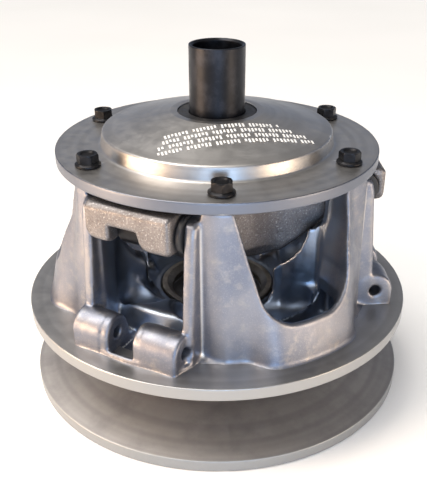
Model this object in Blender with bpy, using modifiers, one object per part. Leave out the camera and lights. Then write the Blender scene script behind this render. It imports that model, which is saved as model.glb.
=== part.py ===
"""Driving pulley of a belt CVT, standing on its fixed sheave with the belt faces closed.

Azimuths are degrees about +Z from -Y towards +X. A sector shape is drawn facing -Y, with +X to the
right as seen from outside, and is then turned to its own azimuth.
"""

import math

import bmesh
import bpy
from mathutils import Matrix, Vector

MM = 0.001
GAP = 0.3  # clearance kept between pieces that touch
SOLVER = "MANIFOLD"  # the castings share many flat faces, on which EXACT leaves open edges

# Driving dimensions, in millimetres
SHEAVE_R = 105.0
BELT_ANGLE = 13.0
POST_R = 14.2
POST_TOP = 181.5
POST_BORE_R = 9.6
FIXED_RIM_TOP = 6.1
MOVING_RIM_BOTTOM = 43.1
MOVING_RIM_TOP = 49.5
FACES_MEET_R = 25.0
COVER_R = 83.6
COVER_BOTTOM = 126.7
COVER_TOP = 132.3
DOME_R = 60.6
DOME_EDGE = 139.8
DOME_TOP = 148.5
BOLT_CIRCLE_R = 72.6
TOWER_TOP_R = 81.0
TOWER_BASE_R = 84.5
TOWER_INNER_R = 65.5
APRON_R = 94.0
BAY_HALF = 25.5
LUG_AXIS_R = 84.0
LUG_AXIS_Z = 57.5
LUG_R = 9.5
LUG_BORE_R = 3.0
LUG_SPANS = ((-31.0, -10.0), (4.0, 28.5))
HUB_BORE_R = 19.0
ARM_HALF = 22.5
ARM_END = 83.0
ARM_TOP = 124.5
ARM_BOTTOM = 105.0
NOTCH = (-10.8, 4.0)
ROLLER_AXIS_R = 69.0
ROLLER_AXIS_Z = 111.0
ROLLER_R = 9.5
PIN_R = 3.9
BUTTON_AXIS_R = 72.0
BUTTON_AXIS_Z = 114.0
BUTTON_R = 9.5
CUP_R = 32.5
SPIDER_HUB_R = 36.0
CUP_FLOOR = 96.0
SPRING_R = 28.6
SPRING_WIRE_R = 2.4
SPRING_TURNS = 5

BAY_AZIMUTHS = (-30, 90, 210)
WINDOW_AZIMUTHS = (27, 147, 267)
BOLT_AZIMUTHS = (0, 60, 120, 180, 240, 300)

BELT_SLOPE = math.tan(math.radians(BELT_ANGLE))
BELT_FACE_MEET_Z = FIXED_RIM_TOP + (SHEAVE_R - FACES_MEET_R) * BELT_SLOPE


def clear_scene():
    for obj in list(bpy.data.objects):
        bpy.data.objects.remove(obj, do_unlink=True)


clear_scene()
PARTS = bpy.data.collections.new("cvt_driving_pulley")
CUTTERS = bpy.data.collections.new("cutters")
bpy.context.scene.collection.children.link(PARTS)
bpy.context.scene.collection.children.link(CUTTERS)


def material(name, colour, metallic, roughness):
    made = bpy.data.materials.new(name)
    made.use_nodes = True
    shader = made.node_tree.nodes["Principled BSDF"]
    shader.inputs["Base Color"].default_value = (*colour, 1.0)
    shader.inputs["Metallic"].default_value = metallic
    shader.inputs["Roughness"].default_value = roughness
    made.diffuse_color = (*colour, 1.0)
    return made


CAST_ALUMINIUM = material("cast_aluminium", (0.56, 0.53, 0.49), 1.0, 0.38)
TURNED_ALUMINIUM = material("turned_aluminium", (0.62, 0.59, 0.54), 1.0, 0.3)
ROUGH_CASTING = material("rough_casting", (0.5, 0.47, 0.43), 0.9, 0.6)
BLACK_STEEL = material("black_oxide_steel", (0.02, 0.022, 0.028), 0.6, 0.38)
BRIGHT_STEEL = material("bright_steel", (0.6, 0.6, 0.6), 1.0, 0.25)
BRONZE = material("sintered_bronze", (0.45, 0.33, 0.2), 1.0, 0.4)
BLACK_PLASTIC = material("black_bearing_plastic", (0.02, 0.02, 0.02), 0.0, 0.5)
SPRING_STEEL = material("spring_steel", (0.25, 0.25, 0.27), 1.0, 0.35)


def add_object(name, mesh, finish, collection=PARTS):
    obj = bpy.data.objects.new(name, mesh)
    collection.objects.link(obj)
    if finish:
        mesh.materials.append(finish)
    return obj


def add_bmesh(name, bm, finish, collection=PARTS):
    mesh = bpy.data.meshes.new(name)
    bm.to_mesh(mesh)
    bm.free()
    return add_object(name, mesh, finish, collection)


def helper(obj):
    """Keeps a shape that is only joined or cut out of the render."""
    for collection in list(obj.users_collection):
        collection.objects.unlink(obj)
    CUTTERS.objects.link(obj)
    obj.hide_render = True
    obj.display_type = "WIRE"
    return obj


def smooth(obj):
    for face in obj.data.polygons:
        face.use_smooth = True
    obj.data.set_sharp_from_angle(angle=math.radians(35))


def baked(obj):
    """Turns an object with modifiers, or a curve, into a plain welded mesh."""
    bpy.context.view_layer.update()
    graph = bpy.context.evaluated_depsgraph_get()
    mesh = bpy.data.meshes.new_from_object(obj.evaluated_get(graph))
    bm = bmesh.new()
    bm.from_mesh(mesh)
    bmesh.ops.remove_doubles(bm, verts=bm.verts, dist=0.00001)
    bmesh.ops.recalc_face_normals(bm, faces=bm.faces)
    bm.to_mesh(mesh)
    bm.free()
    name = obj.name
    made = bpy.data.objects.new(name, mesh)
    obj.users_collection[0].objects.link(made)
    made.matrix_world = obj.matrix_world
    bpy.data.objects.remove(obj, do_unlink=True)
    made.name = name
    return made


def turned(name, profile, steps, finish):
    """A ring from a closed profile of (radius, height), which starts down its outer side."""
    bm = bmesh.new()
    points = [bm.verts.new((r * MM, 0, z * MM)) for r, z in profile]
    for first, second in zip(points, points[1:] + points[:1]):
        bm.edges.new((first, second))
    obj = add_bmesh(name, bm, finish)
    screw = obj.modifiers.new("Turn", "SCREW")
    screw.axis = "Z"
    screw.steps = steps
    screw.render_steps = steps
    screw.use_merge_vertices = True
    screw.merge_threshold = 0.0001
    obj = baked(obj)
    smooth(obj)
    return obj


def box(name, low, high, finish=None):
    bm = bmesh.new()
    bmesh.ops.create_cube(bm, size=1.0)
    size = [(b - a) * MM for a, b in zip(low, high)]
    middle = Vector([(a + b) / 2 * MM for a, b in zip(low, high)])
    bmesh.ops.transform(bm, verts=bm.verts, matrix=Matrix.Translation(middle) @ Matrix.Diagonal((*size, 1)))
    return add_bmesh(name, bm, finish)


def cylinder(name, radius, start, end, finish=None, sides=32):
    """A round bar between two points."""
    start, end = Vector(start) * MM, Vector(end) * MM
    along = end - start
    bm = bmesh.new()
    bmesh.ops.create_cone(
        bm, cap_ends=True, segments=sides, radius1=radius * MM, radius2=radius * MM, depth=along.length
    )
    place = Matrix.Translation((start + end) / 2) @ along.to_track_quat("Z", "Y").to_matrix().to_4x4()
    bmesh.ops.transform(bm, verts=bm.verts, matrix=place)
    return add_bmesh(name, bm, finish)


def outline(name, points, depth, place, finish=None):
    """A flat outline of (x, y), thickened both ways by half of depth and put in place."""
    curve = bpy.data.curves.new(name, "CURVE")
    curve.dimensions = "2D"
    curve.fill_mode = "BOTH"
    curve.extrude = depth / 2 * MM
    spline = curve.splines.new("POLY")
    spline.points.add(len(points) - 1)
    for point, (x, y) in zip(spline.points, points):
        point.co = (x * MM, y * MM, 0, 1)
    spline.use_cyclic_u = True
    obj = add_object(name, curve, finish)
    obj.matrix_world = place
    return baked(obj)


def turned_to(obj, azimuth):
    obj.matrix_world = Matrix.Rotation(math.radians(azimuth), 4, "Z") @ obj.matrix_world
    return obj


def boolean(obj, other, operation):
    change = obj.modifiers.new(f"{operation.title()} {other.name}", "BOOLEAN")
    change.operation = operation
    change.solver = SOLVER
    change.object = helper(other)


def cut(obj, other):
    boolean(obj, other, "DIFFERENCE")


def join(obj, other):
    boolean(obj, other, "UNION")


def arc(centre, radius, start, end, count):
    """Points on an arc, from one angle to another in degrees."""
    angles = [math.radians(start + (end - start) * i / count) for i in range(count + 1)]
    return [(centre[0] + radius * math.cos(a), centre[1] + radius * math.sin(a)) for a in angles]


# Planes for outlines. SIDE_ON draws outwards from the axis, and SEEN_FROM_BELOW draws a flat plan.
FACING_OUT = Matrix(((1, 0, 0, 0), (0, 0, -1, 0), (0, 1, 0, 0), (0, 0, 0, 1)))
SIDE_ON = Matrix(((0, 0, -1, 0), (-1, 0, 0, 0), (0, 1, 0, 0), (0, 0, 0, 1)))

SEEN_FROM_BELOW = Matrix.Diagonal((1, -1, -1, 1))


def fixed_face_z(radius):
    return FIXED_RIM_TOP + (SHEAVE_R - radius) * BELT_SLOPE


def moving_face_z(radius):
    return MOVING_RIM_BOTTOM - (SHEAVE_R - radius) * BELT_SLOPE + GAP


def make_fixed_sheave():
    web = 7.0
    profile = (
        (SHEAVE_R, FIXED_RIM_TOP),
        (SHEAVE_R, 0),
        (99, 0),
        (96, fixed_face_z(96) - web),
        (32, fixed_face_z(32) - web),
        (28, 0),
        (POST_R + GAP, 0),
        (POST_R + GAP, BELT_FACE_MEET_Z - GAP),
        (FACES_MEET_R, BELT_FACE_MEET_Z - GAP),
    )
    sheave = turned("fixed_sheave", profile, 72, TURNED_ALUMINIUM)
    rib = (
        (26, 0.5),
        (97, 0.5),
        (97, fixed_face_z(97) - 3),
        (26, fixed_face_z(26) - 3),
    )
    for number in range(6):
        made = outline(f"sheave_rib_{number + 1}", rib, 5.0, SIDE_ON)
        join(sheave, turned_to(made, 60 * number))
    return sheave


def make_post():
    profile = (
        (POST_R, POST_TOP - 0.4),
        (POST_R, 0),
        (POST_BORE_R, 0),
        (POST_BORE_R, POST_TOP - 16),
        (12.3, POST_TOP - 16),
        (12.3, POST_TOP - 1),
        (13.2, POST_TOP),
        (POST_R - 0.4, POST_TOP),
    )
    return turned("post", profile, 36, BLACK_STEEL)


def tower_ring():
    profile = (
        (TOWER_TOP_R, COVER_BOTTOM - GAP),
        (TOWER_BASE_R, MOVING_RIM_TOP),
        (TOWER_BASE_R, 45),
        (TOWER_INNER_R, 43),
        (TOWER_INNER_R, COVER_BOTTOM - GAP),
    )
    return turned("tower_ring", profile, 72, None)


def apron(azimuth):
    """The bulge of the casting under a window."""
    profile = ((TOWER_TOP_R - 1, 112), (APRON_R, MOVING_RIM_TOP), (APRON_R, 45), (70, 45), (70, 112))
    cone = turned("apron", profile, 72, None)
    wedge = box("apron_wedge", (-27, -100, 40), (25, -60, 115))
    boolean(cone, turned_to(wedge, azimuth), "INTERSECT")
    return cone


def window_cutter():
    """The slanted U between two posts, seen from outside."""
    left = [(-33, 130), (-22, 87)]
    bottom_left = arc((-3.5, 83.5), 18, 195, 270, 6)
    bottom_right = arc((12, 82), 16.5, 270, 360, 6)
    right = [(22, 130)]
    place = Matrix.Translation((0, -86 * MM, 0)) @ FACING_OUT
    return outline("window_cutter", left + bottom_left + bottom_right + right, 48, place)


def web_plate(side):
    """A wall from the hub to a post, with a hollow top edge."""
    low_u, high_u = 20, 72
    top = COVER_BOTTOM - GAP
    hollow = arc((-9, 112), 62, 305, 352, 7)
    points = [(low_u, 36), (high_u, 42), (high_u, top), (hollow[-1][0] + 1, top)]
    points += list(reversed(hollow)) + [(low_u, 50)]
    offset = side * (BAY_HALF + 2.5) * MM
    return outline("web_plate", points, 5, Matrix.Translation((offset, 0, 0)) @ SIDE_ON)


def flange(side):
    """The flat edge of a bay wall, which stands a little proud of the post."""
    points = ((70, 55), (81.7, 55), (81.7, 62), (77, 123), (76, 124), (70, 124))
    offset = side * (BAY_HALF + 2.8) * MM
    return outline("flange", points, 5.6, Matrix.Translation((offset, 0, 0)) @ SIDE_ON)


def lug(span):
    place = (0, -LUG_AXIS_R, LUG_AXIS_Z)
    barrel = cylinder("lug", LUG_R, (span[0], *place[1:]), (span[1], *place[1:]))
    foot = box("lug_foot", (span[0], -LUG_AXIS_R - LUG_R, 46), (span[1], -72, LUG_AXIS_Z))
    join(barrel, foot)
    return baked(barrel)


def lug_pad():
    """The raised floor that both lugs of a bay stand on."""
    left, right = LUG_SPANS[0][0], LUG_SPANS[1][1]
    front = arc((0, 0), LUG_AXIS_R + LUG_R + 0.8, 72, 109, 6)
    place = Matrix.Translation((0, 0, 48.5 * MM)) @ SEEN_FROM_BELOW
    return outline("lug_pad", [(left, 70), (right, 70), (right, 89)] + front, 6, place)


def make_movable_sheave():
    profile = (
        (SHEAVE_R, MOVING_RIM_TOP),
        (SHEAVE_R, MOVING_RIM_BOTTOM),
        (FACES_MEET_R, moving_face_z(FACES_MEET_R) - GAP),
        (HUB_BORE_R + GAP, moving_face_z(FACES_MEET_R) - GAP),
        (HUB_BORE_R + GAP, 34),
        (25.0, 34),
        (25.0, 43),
        (34, 43),
        (37, 46),
        (45, 57),
        (62, 57),
        (68, MOVING_RIM_TOP),
    )
    sheave = turned("movable_sheave", profile, 72, CAST_ALUMINIUM)
    join(sheave, tower_ring())
    for azimuth in WINDOW_AZIMUTHS:
        join(sheave, apron(azimuth))
    for azimuth in WINDOW_AZIMUTHS:
        cut(sheave, turned_to(window_cutter(), azimuth))
    for azimuth in BAY_AZIMUTHS:
        bay = box("bay_cutter", (-BAY_HALF, -110, MOVING_RIM_TOP + 0.4), (BAY_HALF, -58, 140))
        cut(sheave, turned_to(bay, azimuth))
        for side in (-1, 1):
            join(sheave, turned_to(web_plate(side), azimuth))
            join(sheave, turned_to(flange(side), azimuth))
        for span in LUG_SPANS:
            join(sheave, turned_to(lug(span), azimuth))
        join(sheave, turned_to(lug_pad(), azimuth))
        ends = ((-40, -LUG_AXIS_R, LUG_AXIS_Z), (40, -LUG_AXIS_R, LUG_AXIS_Z))
        cut(sheave, turned_to(cylinder("lug_bore", LUG_BORE_R, *ends, sides=20), azimuth))
    for azimuth in BOLT_AZIMUTHS:
        hole = cylinder("tapped_hole", 3.3, (0, -BOLT_CIRCLE_R, 108), (0, -BOLT_CIRCLE_R, 130), sides=12)
        cut(sheave, turned_to(hole, azimuth))
    return sheave



def make_hub_pieces():
    collar = ((31.5, 48.8), (31.5, 43 + GAP), (25.4, 43 + GAP), (25.4, 48.8))
    turned("hub_collar", collar, 36, BRONZE)
    bush = (
        (HUB_BORE_R, 36),
        (HUB_BORE_R, 26),
        (POST_R + GAP, 26),
        (POST_R + GAP, 36),
    )
    turned("hub_bushing", bush, 32, BLACK_PLASTIC)


def make_cover():
    profile = (
        (COVER_R, COVER_TOP),
        (COVER_R, COVER_BOTTOM),
        (57, COVER_BOTTOM),
        (55, DOME_EDGE - 6),
        (36, 141),
        (20.4, 141),
        (20.4, DOME_TOP),
        (24, DOME_TOP),
        (DOME_R, DOME_EDGE),
        (DOME_R, COVER_TOP),
    )
    cover = turned("cover", profile, 72, TURNED_ALUMINIUM)
    for azimuth in BOLT_AZIMUTHS:
        hole = cylinder("cover_hole", 3.3, (0, -BOLT_CIRCLE_R, 120), (0, -BOLT_CIRCLE_R, 140), sides=12)
        cut(cover, turned_to(hole, azimuth))
    bush = (
        (20.1, DOME_TOP - 0.6),
        (20.1, 138),
        (POST_R + GAP, 138),
        (POST_R + GAP, DOME_TOP - 0.6),
    )
    turned("cover_bushing", bush, 32, BLACK_PLASTIC)


def make_bolts():
    head_base = COVER_TOP + GAP
    profile = (
        (0, head_base + 4.0),
        (4.6, head_base + 4.0),
        (4.8, head_base + 1.7),
        (6.3, head_base + 1.0),
        (6.3, head_base),
        (3.0, head_base),
        (3.0, head_base - 21),
        (0, head_base - 22),
    )
    bm = bmesh.new()
    points = [bm.verts.new((r * MM, 0, z * MM)) for r, z in profile]
    for first, second in zip(points, points[1:]):
        bm.edges.new((first, second))
    bolt = add_bmesh("cover_bolt", bm, BLACK_STEEL)
    screw = bolt.modifiers.new("Turn", "SCREW")
    screw.steps = 20
    screw.render_steps = 20
    screw.use_merge_vertices = True
    screw.merge_threshold = 0.0001
    bolt = baked(bolt)
    join(bolt, cylinder("hex_head", 5.5, (0, 0, head_base + 0.4), (0, 0, head_base + 5.9), sides=6))
    cut(bolt, cylinder("head_recess", 3.4, (0, 0, head_base + 5.0), (0, 0, head_base + 8), sides=16))
    bolt = baked(bolt)
    smooth(bolt)
    for number, azimuth in enumerate(BOLT_AZIMUTHS):
        copy = add_object(f"cover_bolt_{number + 1}", bolt.data, None)
        copy.location = (
            math.sin(math.radians(azimuth)) * BOLT_CIRCLE_R * MM,
            -math.cos(math.radians(azimuth)) * BOLT_CIRCLE_R * MM,
            0,
        )
        copy.rotation_euler = (0, 0, math.radians(azimuth + 17 * number))
    bpy.data.objects.remove(bolt)


def arm():
    side = [
        (ARM_END, ARM_TOP - 1.5),
        (ARM_END - 1.5, ARM_TOP),
        (56, ARM_TOP),
        (36, 117),
        (20, 117),
        (20, 79),
        (33, 79),
        (50, 92),
        (61, ARM_BOTTOM),
        (ARM_END - 3, ARM_BOTTOM),
        (ARM_END, ARM_BOTTOM + 3),
    ]
    made = outline("arm", side, 2 * ARM_HALF, SIDE_ON)
    cut(made, box("arm_notch", (NOTCH[0], -90, 70), (NOTCH[1], -57.5, 114.8)))
    cut(made, box("roller_room", (NOTCH[0], -79.4, 80), (NOTCH[1], -57.5, 121.5)))
    return baked(made)


def make_spider():
    hub = (
        (SPIDER_HUB_R, 117),
        (SPIDER_HUB_R, 84),
        (33, 79),
        (28, 76),
        (POST_R + GAP, 76),
        (POST_R + GAP, CUP_FLOOR),
        (CUP_R, CUP_FLOOR),
        (CUP_R, 117),
    )
    spider = turned("spider", hub, 56, ROUGH_CASTING)
    for azimuth in BAY_AZIMUTHS:
        join(spider, turned_to(arm(), azimuth))
    cut(spider, cylinder("cup", CUP_R, (0, 0, CUP_FLOOR), (0, 0, 140), sides=56))
    cut(spider, cylinder("spider_bore", POST_R + GAP, (0, 0, 60), (0, 0, 140), sides=40))
    for azimuth in BAY_AZIMUTHS:
        ends = [(side * 40, -ROLLER_AXIS_R, ROLLER_AXIS_Z) for side in (-1, 1)]
        cut(spider, turned_to(cylinder("pin_hole", PIN_R + GAP, *ends, sides=20), azimuth))
    nut = cylinder("spider_lock_nut", 21.5, (0, 0, CUP_FLOOR + GAP), (0, 0, 105), BLACK_STEEL, sides=6)
    cut(nut, cylinder("nut_bore", POST_R + GAP, (0, 0, 90), (0, 0, 110), sides=40))


def make_rollers():
    middle = sum(NOTCH) / 2
    half = (NOTCH[1] - NOTCH[0]) / 2 - GAP
    for number, azimuth in enumerate(BAY_AZIMUTHS):
        place = Matrix.Rotation(math.radians(azimuth), 4, "Z")
        axis = place @ Vector((middle, -ROLLER_AXIS_R, ROLLER_AXIS_Z))
        pivot = bpy.data.objects.new(f"roller_axis_{number + 1}", None)
        PARTS.objects.link(pivot)
        pivot.location = axis * MM
        pivot.rotation_euler = (0, math.radians(90), math.radians(azimuth))
        rings = (
            (f"roller_{number + 1}", ROLLER_R, 5.9, half, BLACK_STEEL),
            (f"roller_bush_{number + 1}", 5.6, PIN_R + GAP, half - 0.3, BRONZE),
        )
        for name, outer, inner, long, finish in rings:
            ring = turned(name, ((outer, long), (outer, -long), (inner, -long), (inner, long)), 24, finish)
            ring.parent = pivot
        ends = [(side * (ARM_HALF - 0.2), -ROLLER_AXIS_R, ROLLER_AXIS_Z) for side in (-1, 1)]
        turned_to(cylinder(f"roller_pin_{number + 1}", PIN_R, *ends, BRIGHT_STEEL, 24), azimuth)
        for side, name in ((-1, 2 * number + 1), (1, 2 * number + 2)):
            faces = [
                (side * (ARM_HALF + GAP), -BUTTON_AXIS_R, BUTTON_AXIS_Z),
                (side * (BAY_HALF - GAP), -BUTTON_AXIS_R, BUTTON_AXIS_Z),
            ]
            turned_to(cylinder(f"guide_button_{name}", BUTTON_R, *faces, BLACK_PLASTIC, 28), azimuth)


def make_spring():
    floor = CUP_FLOOR + GAP
    turned("spring_seat", ((32, floor + 1.2), (32, floor), (24, floor), (24, floor + 1.2)), 32, BRIGHT_STEEL)
    low = floor + 1.2 + GAP + SPRING_WIRE_R
    high = 141 - GAP - SPRING_WIRE_R
    per_turn = 14
    curve = bpy.data.curves.new("spring", "CURVE")
    curve.dimensions = "3D"
    curve.bevel_depth = SPRING_WIRE_R * MM
    curve.bevel_resolution = 2
    curve.use_fill_caps = True
    spline = curve.splines.new("POLY")
    count = (SPRING_TURNS + 1) * per_turn
    spline.points.add(count)
    for index, point in enumerate(spline.points):
        turn = index / per_turn
        rise = min(max(turn - 0.5, 0) / SPRING_TURNS, 1)
        angle = 2 * math.pi * turn
        height = low + (high - low) * rise
        point.co = (SPRING_R * MM * math.cos(angle), SPRING_R * MM * math.sin(angle), height * MM, 1)
    baked(add_object("spring", curve, SPRING_STEEL))


make_fixed_sheave()
make_post()
make_movable_sheave()
make_hub_pieces()
make_cover()
make_bolts()
make_spider()
make_rollers()
make_spring()
bpy.context.view_layer.update()
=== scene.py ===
"""Looks of the CVT driving pulley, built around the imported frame.

Shapes are worked out in millimetres and turned into metres when a mesh is made. Azimuths are degrees about
+Z from -Y towards +X. In a sector, u points outwards from the axis and t to the right as seen from outside.
The two castings are distance fields: negative inside, joined and cut with rounded seams, then meshed.
"""

import math

import bmesh
import bpy
import numpy as np
import openvdb
from mathutils import Matrix, Vector


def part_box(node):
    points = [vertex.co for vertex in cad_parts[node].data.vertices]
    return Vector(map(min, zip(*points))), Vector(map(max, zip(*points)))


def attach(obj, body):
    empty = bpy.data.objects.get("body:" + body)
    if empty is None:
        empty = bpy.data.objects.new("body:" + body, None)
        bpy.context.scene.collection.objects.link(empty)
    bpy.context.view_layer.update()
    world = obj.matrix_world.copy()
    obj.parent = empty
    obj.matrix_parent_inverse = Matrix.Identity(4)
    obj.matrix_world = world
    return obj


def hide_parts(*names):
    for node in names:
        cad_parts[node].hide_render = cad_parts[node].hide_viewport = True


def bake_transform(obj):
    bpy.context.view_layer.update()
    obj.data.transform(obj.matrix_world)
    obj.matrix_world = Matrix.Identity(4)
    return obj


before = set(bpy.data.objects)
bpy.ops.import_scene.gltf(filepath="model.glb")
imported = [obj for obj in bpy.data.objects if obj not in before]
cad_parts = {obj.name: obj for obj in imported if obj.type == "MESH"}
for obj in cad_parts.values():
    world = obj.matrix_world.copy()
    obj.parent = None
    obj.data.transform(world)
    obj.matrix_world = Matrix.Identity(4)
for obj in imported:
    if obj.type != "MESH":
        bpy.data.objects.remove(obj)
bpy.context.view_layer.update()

# A millimetre in metres, and the clearance between pieces in millimetres
MM = 0.001
GAP = 0.3
FIXED = "fixed_assembly"
MOVING = "movable_assembly"


def high(node, axis):
    """How far a CAD node reaches along x, y or z, in millimetres."""
    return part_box(node)[1]["xyz".index(axis)] / MM


def low(node, axis):
    """Where a CAD node starts along x, y or z, in millimetres."""
    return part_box(node)[0]["xyz".index(axis)] / MM


# Driving dimensions, in millimetres, from the frame where a box gives them
SHEAVE_R = high("fixed_sheave", "x")
FIXED_FACE_TOP = high("fixed_sheave", "z")
POST_R = high("post", "x")
POST_TOP = high("post", "z")
COVER_R = high("cover", "x")
COVER_BOTTOM = low("cover", "z")
DOME_TOP = high("cover", "z")
COLLAR_R = high("hub_collar", "x")
COLLAR_TOP = high("hub_collar", "z")
COLLAR_BOTTOM = low("hub_collar", "z")
SPRING_LOW = low("spring", "z")
SPRING_HIGH = high("spring", "z")
BUSHING_TOP = high("cover_bushing", "z")
TOWER_TOP = COVER_BOTTOM - GAP
SLEEVE_R = POST_R + GAP
BELT_SLOPE = math.tan(math.radians(13))
POST_BORE_R = 9.6
FIXED_RIM_TOP = 6.1
FIXED_WEB = 7.0
MOVING_RIM_BOTTOM = 43.1
HUB_FOOT_R = 25.0
BUSHING_SEAT_R = 19.3
CASTING_SEAT_R = 84.6
CASTING_SEAT_Z = 42.9
LEDGE = 49.5
COVER_TOP = 132.3
DOME_R = 60.6
DOME_EDGE = 139.8
DOME_CROWN_R = 24.0
BOLT_CIRCLE_R = 72.6
BOLT_HOLE_R = 3.3
BOLT_R = 3.0
BAY_AZIMUTH = -30
WINDOW_AZIMUTH = 27
BAY_HALF = 25.5
LUG_U = 84.0
LUG_Z = 57.5
LUG_R = 9.5
LUG_SPANS = ((-31.0, -10.0), (4.0, 28.5))
LUG_BORE_R = 3.0
FLANGE_SIDE = 31.1
ARM_HALF = 22.5
NOTCH = (-10.8, 4.0)
ROLLER_U = 69.0
ROLLER_Z = 111.0
ROLLER_R = 9.5
PIN_HOLE_R = 4.2
BUTTON_U = 72.0
BUTTON_Z = 114.0
BUTTON_R = 9.5
CUP_R = 32.5
CUP_FLOOR = 96.0
NUT_TOP = 105.0

# The castings' grid spacing, the steps in a full turn, and the angle in degrees that stays sharp
VOXEL = 0.9
LATHE_STEPS = 216
SHARP_ANGLE = 32


# ------------------------------------------------------------------------------------------------- materials


class Finish:
    """A material's nodes. Sizes are in millimetres on the object."""

    def __init__(self, name, metallic, colour):
        self.material = bpy.data.materials.new(name)
        self.material.use_nodes = True
        self.material.diffuse_color = (*colour, 1)
        self.tree = self.material.node_tree
        self.shader = self.tree.nodes["Principled BSDF"]
        self.shader.inputs["Metallic"].default_value = metallic
        self.place = self.tree.nodes.new("ShaderNodeTexCoord").outputs["Object"]
        split = self.node("ShaderNodeSeparateXYZ", Vector=self.place)
        self.x, self.y, self.z = split.outputs
        self.height = None

    def put(self, socket, value):
        if isinstance(value, bpy.types.NodeSocket):
            self.tree.links.new(value, socket)
        else:
            socket.default_value = value

    def node(self, kind, **values):
        made = self.tree.nodes.new(kind)
        for name, value in values.items():
            self.put(made.inputs[name.replace("_", " ")], value)
        return made

    def math(self, operation, first, second=0.0):
        made = self.tree.nodes.new("ShaderNodeMath")
        made.operation = operation
        self.put(made.inputs[0], first)
        self.put(made.inputs[1], second)
        return made.outputs[0]

    def radius(self):
        x_square = self.math("MULTIPLY", self.x, self.x)
        y_square = self.math("MULTIPLY", self.y, self.y)
        return self.math("SQRT", self.math("ADD", x_square, y_square))

    def noise(self, size, detail, roughness=0.55):
        made = self.node("ShaderNodeTexNoise", Vector=self.place, Scale=1 / (size * MM), Detail=detail)
        made.inputs["Roughness"].default_value = roughness
        return made.outputs[0]

    def lines(self, along, size):
        """Noise that varies only along one value, such as the radius: the marks of a cutting tool."""
        made = self.tree.nodes.new("ShaderNodeTexNoise")
        made.noise_dimensions = "1D"
        self.put(made.inputs["W"], along)
        made.inputs["Scale"].default_value = 1 / (size * MM)
        return made.outputs[0]

    def ramp(self, value, start, end, low_value=0.0, high_value=1.0):
        made = self.node("ShaderNodeMapRange", Value=value)
        made.interpolation_type = "SMOOTHSTEP"
        for name, number in (
            ("From Min", start),
            ("From Max", end),
            ("To Min", low_value),
            ("To Max", high_value),
        ):
            made.inputs[name].default_value = number
        return made.outputs[0]

    def mix(self, factor, first, second):
        made = self.tree.nodes.new("ShaderNodeMix")
        made.data_type = "RGBA"
        self.put(made.inputs["Factor"], factor)
        for socket, value in zip((made.inputs[6], made.inputs[7]), (first, second)):
            self.put(socket, (*value, 1) if isinstance(value, tuple) else value)
        return made.outputs[2]

    def edges(self, start, end):
        """0 to 1 between two curvatures of the mesh, which run from low in hollows to high on outer edges."""
        return self.ramp(self.tree.nodes.new("ShaderNodeNewGeometry").outputs["Pointiness"], start, end)

    def colour(self, value):
        self.put(self.shader.inputs["Base Color"], value)

    def roughness(self, value):
        self.put(self.shader.inputs["Roughness"], value)

    def bump(self, value, depth, strength):
        """Raises the surface by up to depth millimetres where value is 1."""
        made = self.tree.nodes.new("ShaderNodeBump")
        made.inputs["Strength"].default_value = strength
        made.inputs["Distance"].default_value = depth * MM
        self.put(made.inputs["Height"], value)
        if self.height:
            self.tree.links.new(self.height, made.inputs["Normal"])
        self.height = made.outputs[0]
        self.tree.links.new(self.height, self.shader.inputs["Normal"])


def cast_aluminium():
    """Tumbled casting: satin, shinier inside, softly clouded, with pale grain, painted blue-grey light
    inside, painted highlights on its edges and painted shade in its hollows.
    """
    made = Finish("cast_aluminium", 1.0, (0.56, 0.54, 0.51))
    clouds = made.ramp(made.noise(26, 4.0), 0.36, 0.66)
    blotches = made.ramp(made.noise(6, 5.0, 0.65), 0.5, 0.74)
    grain = made.noise(0.7, 3.0, 0.65)
    inside = made.ramp(made.radius(), 70 * MM, 78 * MM, 1.0, 0.0)
    base = made.mix(clouds, (0.205, 0.222, 0.275), (0.275, 0.28, 0.315))
    base = made.mix(blotches, base, (0.33, 0.325, 0.335))
    # Painted blue light: inside about 70 to 78 mm from the axis, the colour turns a paler blue-grey.
    base = made.mix(inside, base, (0.34, 0.40, 0.50))
    # The grain itself is the casting's texture; its pale specks are painted glints.
    base = made.mix(made.ramp(grain, 0.5, 0.75, 0.0, 0.35), base, (0.45, 0.44, 0.44))
    # Painted shade: hollows are darkened to a deep blue-grey.
    base = made.mix(made.edges(0.47, 0.415), base, (0.10, 0.115, 0.15))
    # Painted highlight: sharp outer edges are mixed towards a pale cream.
    made.colour(made.mix(made.edges(0.52, 0.557), base, (0.95, 0.92, 0.87)))
    satin = made.ramp(made.noise(5, 4.0), 0.3, 0.7, 0.4, 0.52)
    made.roughness(made.math("SUBTRACT", satin, made.math("MULTIPLY", inside, 0.1)))
    made.bump(made.noise(7, 3.0), 0.2, 0.25)
    made.bump(grain, 0.06, 0.6)
    return made.material


def turned_aluminium(name, pale, dark, roughness, rim, edge, stain=0.5):
    """Turned metal: fine rings from the tool, stains that cross them, an outer rim of its own colour, and
    painted highlights on its sharp edges.
    """
    made = Finish(name, 1.0, pale)
    radius = made.radius()
    # The rings are counted along the radius, and along the height on upright faces
    reach = made.math("ADD", radius, made.math("MULTIPLY", made.z, 1.7))
    rings = made.lines(reach, 1.1)
    bands = made.ramp(made.lines(reach, 6.0), 0.35, 0.65)
    stains = made.ramp(made.noise(22, 6.0, 0.65), 0.42, 0.72, 0.0, stain)
    base = made.mix(made.math("MULTIPLY", bands, 0.45), pale, dark)
    base = made.mix(stains, base, dark)
    # The outer rim takes its own colour; on the cover that colour is painted shade.
    base = made.mix(made.ramp(radius, rim - 0.3 * MM, rim), base, edge)
    # Painted highlight: sharp outer edges are mixed towards a pale cream.
    made.colour(made.mix(made.edges(0.55, 0.66), base, (0.9, 0.88, 0.83)))
    made.roughness(made.ramp(made.noise(6, 6.0, 0.65), 0.3, 0.7, roughness - 0.03, roughness + 0.05))
    made.bump(rings, 0.05, 0.35)
    made.bump(made.noise(1.2, 3.0), 0.02, 0.3)
    return made.material


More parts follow.
